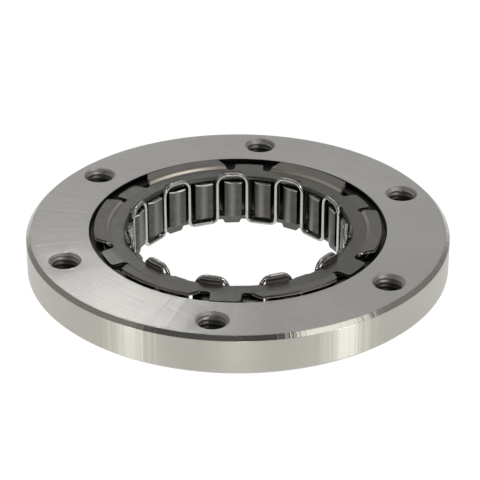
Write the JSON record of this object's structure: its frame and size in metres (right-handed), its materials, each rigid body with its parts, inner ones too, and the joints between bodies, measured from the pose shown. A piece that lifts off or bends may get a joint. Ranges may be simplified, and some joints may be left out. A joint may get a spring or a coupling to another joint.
{
  "type": "starter clutch",
  "caption": "One-way sprag clutch: bored steel ring with a circle of tapped bolt holes, pressed cage, tilting sprags and a zigzag wire spring.",
  "frame": {"origin": "centre of the collar's flat underside, on the clutch's axis", "axes": "+Z along the axis, out of the bolting face; +X and +Y across it"},
  "size_m": [0.115, 0.115, 0.0172],
  "materials": {
    "ring_steel": "fine turned and ground case-hardened alloy steel",
    "cage_steel": "pressed and nitrided sheet steel, satin",
    "sprag_steel": "drawn and hardened bearing steel, tumbled satin",
    "spring_wire": "bright drawn spring wire"
  },
  "bodies": {
    "outer_ring": {"outer_ring": "ring_steel"},
    "cage": {"cage": "cage_steel", "energizing_spring": "spring_wire"},
    "sprag_01": {"sprag_01": "sprag_steel"},
    "sprag_02": {"sprag_02": "sprag_steel"},
    "sprag_03": {"sprag_03": "sprag_steel"},
    "sprag_04": {"sprag_04": "sprag_steel"},
    "sprag_05": {"sprag_05": "sprag_steel"},
    "sprag_06": {"sprag_06": "sprag_steel"},
    "sprag_07": {"sprag_07": "sprag_steel"},
    "sprag_08": {"sprag_08": "sprag_steel"},
    "sprag_09": {"sprag_09": "sprag_steel"},
    "sprag_10": {"sprag_10": "sprag_steel"},
    "sprag_11": {"sprag_11": "sprag_steel"},
    "sprag_12": {"sprag_12": "sprag_steel"},
    "sprag_13": {"sprag_13": "sprag_steel"},
    "sprag_14": {"sprag_14": "sprag_steel"},
    "sprag_15": {"sprag_15": "sprag_steel"},
    "sprag_16": {"sprag_16": "sprag_steel"},
    "sprag_17": {"sprag_17": "sprag_steel"},
    "sprag_18": {"sprag_18": "sprag_steel"},
    "sprag_19": {"sprag_19": "sprag_steel"},
    "sprag_20": {"sprag_20": "sprag_steel"},
    "sprag_21": {"sprag_21": "sprag_steel"},
    "sprag_22": {"sprag_22": "sprag_steel"}
  },
  "joints": [
    {"name": "cage_spin", "type": "hinge", "parent": "outer_ring", "child": "cage", "pos_m": [0, 0, 0.0085], "axis": [0, 0, 1], "continuous": true},
    {"name": "sprag_01_tilt", "type": "hinge", "parent": "cage", "child": "sprag_01", "pos_m": [-0.00185, 0.03299, 0.0085], "axis": [0, 0, 1], "range_deg": [0, 8], "stiffness_Nm_per_rad": 0.002, "springref_deg": -20.05},
    {"name": "sprag_02_tilt", "type": "hinge", "parent": "cage", "child": "sprag_02", "pos_m": [-0.01107, 0.03114, 0.0085], "axis": [0, 0, 1], "range_deg": [0, 8], "stiffness_Nm_per_rad": 0.002, "springref_deg": -20.05},
    {"name": "sprag_03_tilt", "type": "hinge", "parent": "cage", "child": "sprag_03", "pos_m": [-0.01939, 0.02676, 0.0085], "axis": [0, 0, 1], "range_deg": [0, 8], "stiffness_Nm_per_rad": 0.002, "springref_deg": -20.05},
    {"name": "sprag_04_tilt", "type": "hinge", "parent": "cage", "child": "sprag_04", "pos_m": [-0.02614, 0.02021, 0.0085], "axis": [0, 0, 1], "range_deg": [0, 8], "stiffness_Nm_per_rad": 0.002, "springref_deg": -20.05},
    {"name": "sprag_05_tilt", "type": "hinge", "parent": "cage", "child": "sprag_05", "pos_m": [-0.03078, 0.01203, 0.0085], "axis": [0, 0, 1], "range_deg": [0, 8], "stiffness_Nm_per_rad": 0.002, "springref_deg": -20.05},
    {"name": "sprag_06_tilt", "type": "hinge", "parent": "cage", "child": "sprag_06", "pos_m": [-0.03292, 0.00287, 0.0085], "axis": [0, 0, 1], "range_deg": [0, 8], "stiffness_Nm_per_rad": 0.002, "springref_deg": -20.05},
    {"name": "sprag_07_tilt", "type": "hinge", "parent": "cage", "child": "sprag_07", "pos_m": [-0.0324, -0.00652, 0.0085], "axis": [0, 0, 1], "range_deg": [0, 8], "stiffness_Nm_per_rad": 0.002, "springref_deg": -20.05},
    {"name": "sprag_08_tilt", "type": "hinge", "parent": "cage", "child": "sprag_08", "pos_m": [-0.02925, -0.01538, 0.0085], "axis": [0, 0, 1], "range_deg": [0, 8], "stiffness_Nm_per_rad": 0.002, "springref_deg": -20.05},
    {"name": "sprag_09_tilt", "type": "hinge", "parent": "cage", "child": "sprag_09", "pos_m": [-0.02373, -0.023, 0.0085], "axis": [0, 0, 1], "range_deg": [0, 8], "stiffness_Nm_per_rad": 0.002, "springref_deg": -20.05},
    {"name": "sprag_10_tilt", "type": "hinge", "parent": "cage", "child": "sprag_10", "pos_m": [-0.01629, -0.02875, 0.0085], "axis": [0, 0, 1], "range_deg": [0, 8], "stiffness_Nm_per_rad": 0.002, "springref_deg": -20.05},
    {"name": "sprag_11_tilt", "type": "hinge", "parent": "cage", "child": "sprag_11", "pos_m": [-0.00752, -0.03218, 0.0085], "axis": [0, 0, 1], "range_deg": [0, 8], "stiffness_Nm_per_rad": 0.002, "springref_deg": -20.05},
    {"name": "sprag_12_tilt", "type": "hinge", "parent": "cage", "child": "sprag_12", "pos_m": [0.00185, -0.03299, 0.0085], "axis": [0, 0, 1], "range_deg": [0, 8], "stiffness_Nm_per_rad": 0.002, "springref_deg": -20.05},
    {"name": "sprag_13_tilt", "type": "hinge", "parent": "cage", "child": "sprag_13", "pos_m": [0.01107, -0.03114, 0.0085], "axis": [0, 0, 1], "range_deg": [0, 8], "stiffness_Nm_per_rad": 0.002, "springref_deg": -20.05},
    {"name": "sprag_14_tilt", "type": "hinge", "parent": "cage", "child": "sprag_14", "pos_m": [0.01939, -0.02676, 0.0085], "axis": [0, 0, 1], "range_deg": [0, 8], "stiffness_Nm_per_rad": 0.002, "springref_deg": -20.05},
    {"name": "sprag_15_tilt", "type": "hinge", "parent": "cage", "child": "sprag_15", "pos_m": [0.02614, -0.02021, 0.0085], "axis": [0, 0, 1], "range_deg": [0, 8], "stiffness_Nm_per_rad": 0.002, "springref_deg": -20.05},
    {"name": "sprag_16_tilt", "type": "hinge", "parent": "cage", "child": "sprag_16", "pos_m": [0.03078, -0.01203, 0.0085], "axis": [0, 0, 1], "range_deg": [0, 8], "stiffness_Nm_per_rad": 0.002, "springref_deg": -20.05},
    {"name": "sprag_17_tilt", "type": "hinge", "parent": "cage", "child": "sprag_17", "pos_m": [0.03292, -0.00287, 0.0085], "axis": [0, 0, 1], "range_deg": [0, 8], "stiffness_Nm_per_rad": 0.002, "springref_deg": -20.05},
    {"name": "sprag_18_tilt", "type": "hinge", "parent": "cage", "child": "sprag_18", "pos_m": [0.0324, 0.00652, 0.0085], "axis": [0, 0, 1], "range_deg": [0, 8], "stiffness_Nm_per_rad": 0.002, "springref_deg": -20.05},
    {"name": "sprag_19_tilt", "type": "hinge", "parent": "cage", "child": "sprag_19", "pos_m": [0.02925, 0.01538, 0.0085], "axis": [0, 0, 1], "range_deg": [0, 8], "stiffness_Nm_per_rad": 0.002, "springref_deg": -20.05},
    {"name": "sprag_20_tilt", "type": "hinge", "parent": "cage", "child": "sprag_20", "pos_m": [0.02373, 0.023, 0.0085], "axis": [0, 0, 1], "range_deg": [0, 8], "stiffness_Nm_per_rad": 0.002, "springref_deg": -20.05},
    {"name": "sprag_21_tilt", "type": "hinge", "parent": "cage", "child": "sprag_21", "pos_m": [0.01629, 0.02875, 0.0085], "axis": [0, 0, 1], "range_deg": [0, 8], "stiffness_Nm_per_rad": 0.002, "springref_deg": -20.05},
    {"name": "sprag_22_tilt", "type": "hinge", "parent": "cage", "child": "sprag_22", "pos_m": [0.00752, 0.03218, 0.0085], "axis": [0, 0, 1], "range_deg": [0, 8], "stiffness_Nm_per_rad": 0.002, "springref_deg": -20.05}
  ],
  "couplings": [
    {"joint": "sprag_02_tilt", "follows": "sprag_01_tilt", "ratio": 1},
    {"joint": "sprag_03_tilt", "follows": "sprag_01_tilt", "ratio": 1},
    {"joint": "sprag_04_tilt", "follows": "sprag_01_tilt", "ratio": 1},
    {"joint": "sprag_05_tilt", "follows": "sprag_01_tilt", "ratio": 1},
    {"joint": "sprag_06_tilt", "follows": "sprag_01_tilt", "ratio": 1},
    {"joint": "sprag_07_tilt", "follows": "sprag_01_tilt", "ratio": 1},
    {"joint": "sprag_08_tilt", "follows": "sprag_01_tilt", "ratio": 1},
    {"joint": "sprag_09_tilt", "follows": "sprag_01_tilt", "ratio": 1},
    {"joint": "sprag_10_tilt", "follows": "sprag_01_tilt", "ratio": 1},
    {"joint": "sprag_11_tilt", "follows": "sprag_01_tilt", "ratio": 1},
    {"joint": "sprag_12_tilt", "follows": "sprag_01_tilt", "ratio": 1},
    {"joint": "sprag_13_tilt", "follows": "sprag_01_tilt", "ratio": 1},
    {"joint": "sprag_14_tilt", "follows": "sprag_01_tilt", "ratio": 1},
    {"joint": "sprag_15_tilt", "follows": "sprag_01_tilt", "ratio": 1},
    {"joint": "sprag_16_tilt", "follows": "sprag_01_tilt", "ratio": 1},
    {"joint": "sprag_17_tilt", "follows": "sprag_01_tilt", "ratio": 1},
    {"joint": "sprag_18_tilt", "follows": "sprag_01_tilt", "ratio": 1},
    {"joint": "sprag_19_tilt", "follows": "sprag_01_tilt", "ratio": 1},
    {"joint": "sprag_20_tilt", "follows": "sprag_01_tilt", "ratio": 1},
    {"joint": "sprag_21_tilt", "follows": "sprag_01_tilt", "ratio": 1},
    {"joint": "sprag_22_tilt", "follows": "sprag_01_tilt", "ratio": 1}
  ]
}
